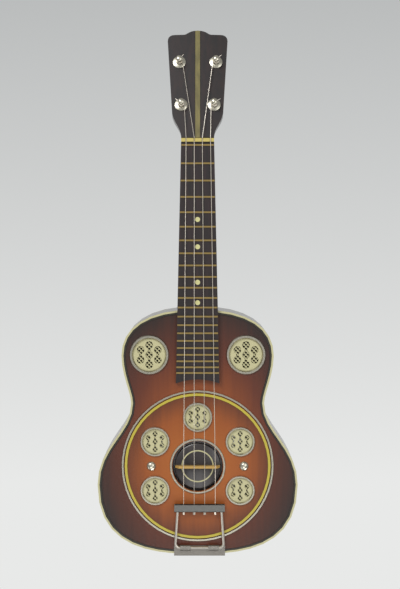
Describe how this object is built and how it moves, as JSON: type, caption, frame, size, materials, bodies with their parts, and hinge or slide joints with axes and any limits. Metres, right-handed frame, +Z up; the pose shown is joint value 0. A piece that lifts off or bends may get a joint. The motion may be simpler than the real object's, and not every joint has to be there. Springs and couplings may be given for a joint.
{
  "type": "resonator cavaquinho",
  "caption": "Small four-string resonator lute with a sunburst wooden body, round cover plate, metal-rimmed grilles, friction pegs and a hinged tailpiece.",
  "frame": {"origin": "centre line at the head's side of the nut, in the plane where fingerboard, neck and soundboard meet", "axes": "+Z up the neck, -Y out of the front where the strings are, +X to the right of someone facing the strings"},
  "size_m": [0.212, 0.0819, 0.5581],
  "materials": {
    "wood_top": "gloss lacquer over sunburst stain",
    "wood_dark": "gloss lacquer",
    "wood_raw": "raw",
    "biscuit": "satin",
    "board": "oiled",
    "stripe": "gloss",
    "cream": "polished",
    "dark_line": "polished",
    "yellow_line": "polished",
    "bone": "satin",
    "nickel": "dull nickel plate",
    "button": "polished",
    "cone": "spun",
    "string": "drawn",
    "tail_metal": "worn"
  },
  "bodies": {
    "body": {"soundboard": "wood_top", "cover_plate": "wood_top", "sides": "wood_dark", "back_panel": "wood_dark", "neck": "wood_dark", "head_veneer": "wood_dark", "neck_block": "wood_raw", "tail_block": "wood_raw", "soundwell": "wood_raw", "biscuit": "biscuit", "fingerboard": "board", "head_stripe": "stripe", "top_binding": "cream", "back_binding": "cream", "upper_grille_left": "cream", "upper_grille_right": "cream", "cover_grille_1": "cream", "cover_grille_2": "cream", "cover_grille_3": "cream", "cover_grille_4": "cream", "cover_grille_5": "cream", "top_purfling": "dark_line", "cover_purfling": "yellow_line", "nut": "bone", "saddle": "bone", "cover_rim": "nickel", "centre_ring": "nickel", "cover_screw_left": "nickel", "cover_screw_right": "nickel", "upper_bezel_left": "nickel", "upper_bezel_right": "nickel", "cover_bezel_1": "nickel", "cover_bezel_2": "nickel", "cover_bezel_3": "nickel", "cover_bezel_4": "nickel", "cover_bezel_5": "nickel", "peg_flange_1": "nickel", "peg_flange_2": "nickel", "peg_flange_3": "nickel", "peg_flange_4": "nickel", "resonator_cone": "cone", "string_1": "string", "string_2": "string", "string_3": "string", "string_4": "string", "tail_plate": "tail_metal"},
    "tailpiece": {"tail_bail": "tail_metal", "tail_bar": "tail_metal"},
    "peg_1": {"peg_post_1": "nickel", "peg_button_1": "button", "string_coil_1": "string"},
    "peg_2": {"peg_post_2": "nickel", "peg_button_2": "button", "string_coil_2": "string"},
    "peg_3": {"peg_post_3": "nickel", "peg_button_3": "button", "string_coil_3": "string"},
    "peg_4": {"peg_post_4": "nickel", "peg_button_4": "button", "string_coil_4": "string"}
  },
  "joints": [
    {"name": "peg_1_turn", "type": "hinge", "parent": "body", "child": "peg_1", "pos_m": [-0.0174, 0.01082, 0.03538], "axis": [0, -0.9563, 0.2924], "continuous": true, "deforming": ["string_1"]},
    {"name": "peg_2_turn", "type": "hinge", "parent": "body", "child": "peg_2", "pos_m": [-0.0195, 0.02497, 0.08167], "axis": [0, -0.9563, 0.2924], "continuous": true, "deforming": ["string_2"]},
    {"name": "peg_3_turn", "type": "hinge", "parent": "body", "child": "peg_3", "pos_m": [0.0195, 0.02497, 0.08167], "axis": [0, -0.9563, 0.2924], "continuous": true, "deforming": ["string_3"]},
    {"name": "peg_4_turn", "type": "hinge", "parent": "body", "child": "peg_4", "pos_m": [0.0174, 0.01082, 0.03538], "axis": [0, -0.9563, 0.2924], "continuous": true, "deforming": ["string_4"]},
    {"name": "tailpiece_swing", "type": "hinge", "parent": "body", "child": "tailpiece", "pos_m": [0.002, -0.0043, -0.4319], "axis": [-1, 0, 0], "range_deg": [0, 2], "stiffness_Nm_per_rad": 1, "deforming": ["string_1", "string_2", "string_3", "string_4"]}
  ]
}
